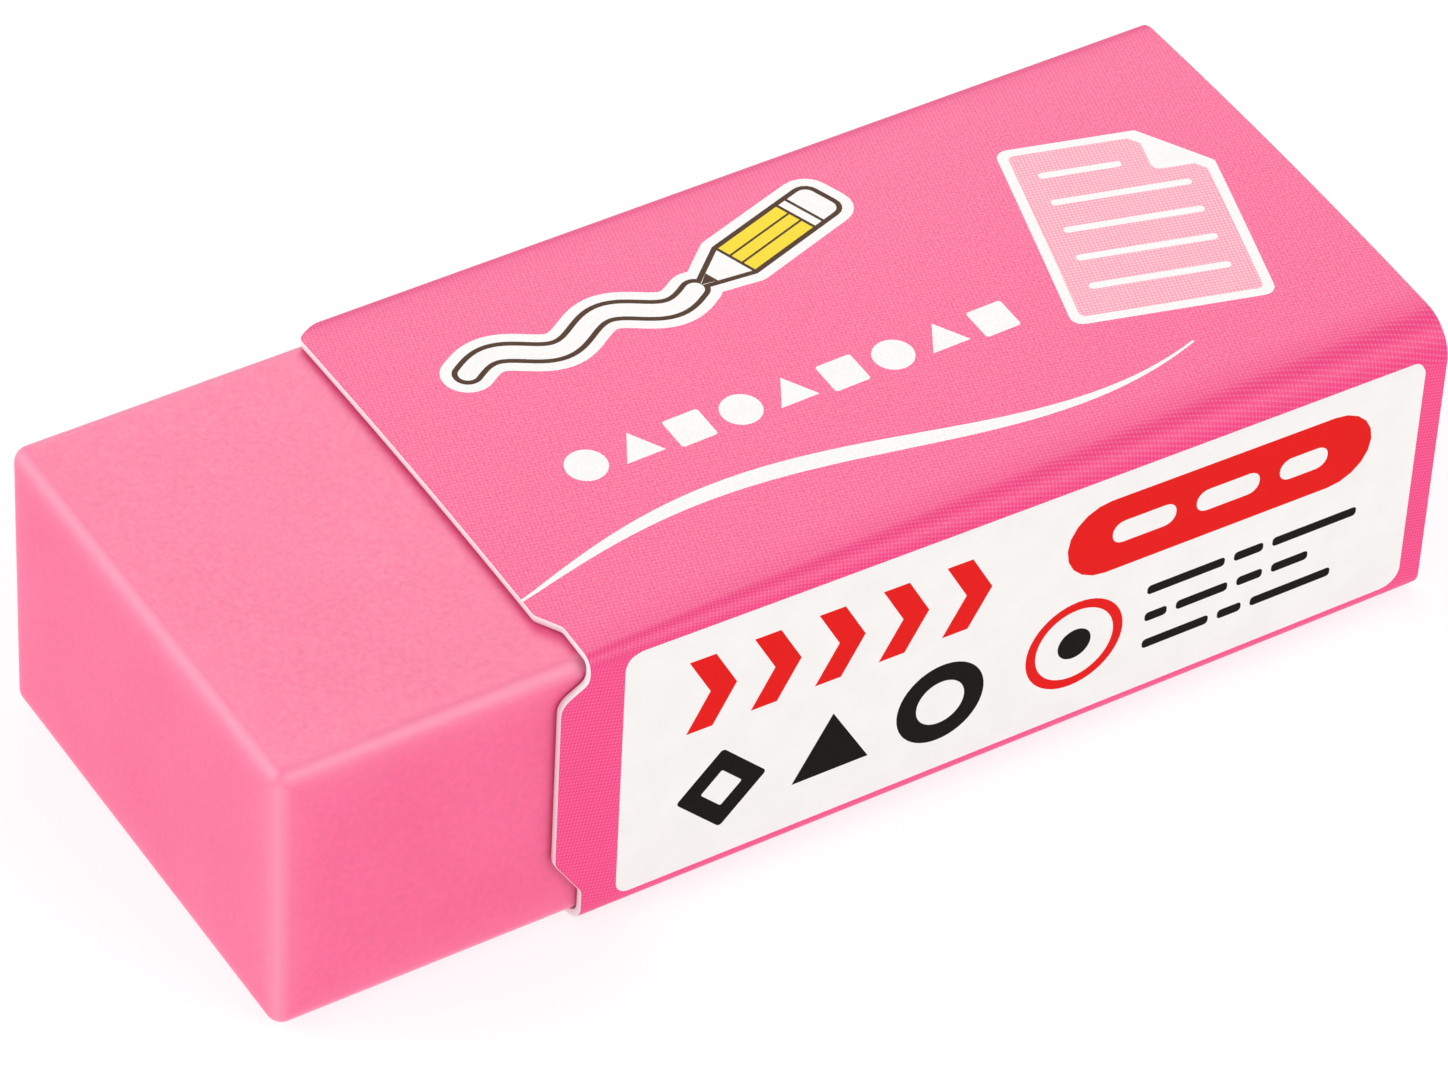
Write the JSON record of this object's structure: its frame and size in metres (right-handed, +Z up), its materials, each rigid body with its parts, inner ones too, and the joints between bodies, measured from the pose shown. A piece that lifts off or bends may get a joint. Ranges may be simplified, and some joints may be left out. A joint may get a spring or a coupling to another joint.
{
  "type": "rubber eraser",
  "caption": "Soft block eraser for pencil marks, held in a folded and lapped card sleeve that is drawn back along the block as the rubber wears and comes off at the rear.",
  "frame": {"origin": "middle of the underside's bounding rectangle, on the surface that the eraser lies on", "axes": "+X along the eraser from the bare working end to the rear of the sleeve, +Y towards the side with the glued lap, +Z up"},
  "size_m": [0.06, 0.0254, 0.0164],
  "materials": {
    "soft_rubber": "matte soft vinyl rubber, pink right through",
    "printed_card": "coated white card printed pink outside, bare white inside and on its cut edges"
  },
  "bodies": {
    "block": {"eraser_block": "soft_rubber"},
    "sleeve": {"card_sleeve": "printed_card"}
  },
  "joints": [
    {"name": "sleeve_slide", "type": "slide", "parent": "block", "child": "sleeve", "axis": [1, 0, 0], "range_m": [-0.01365, 0.04635]}
  ]
}
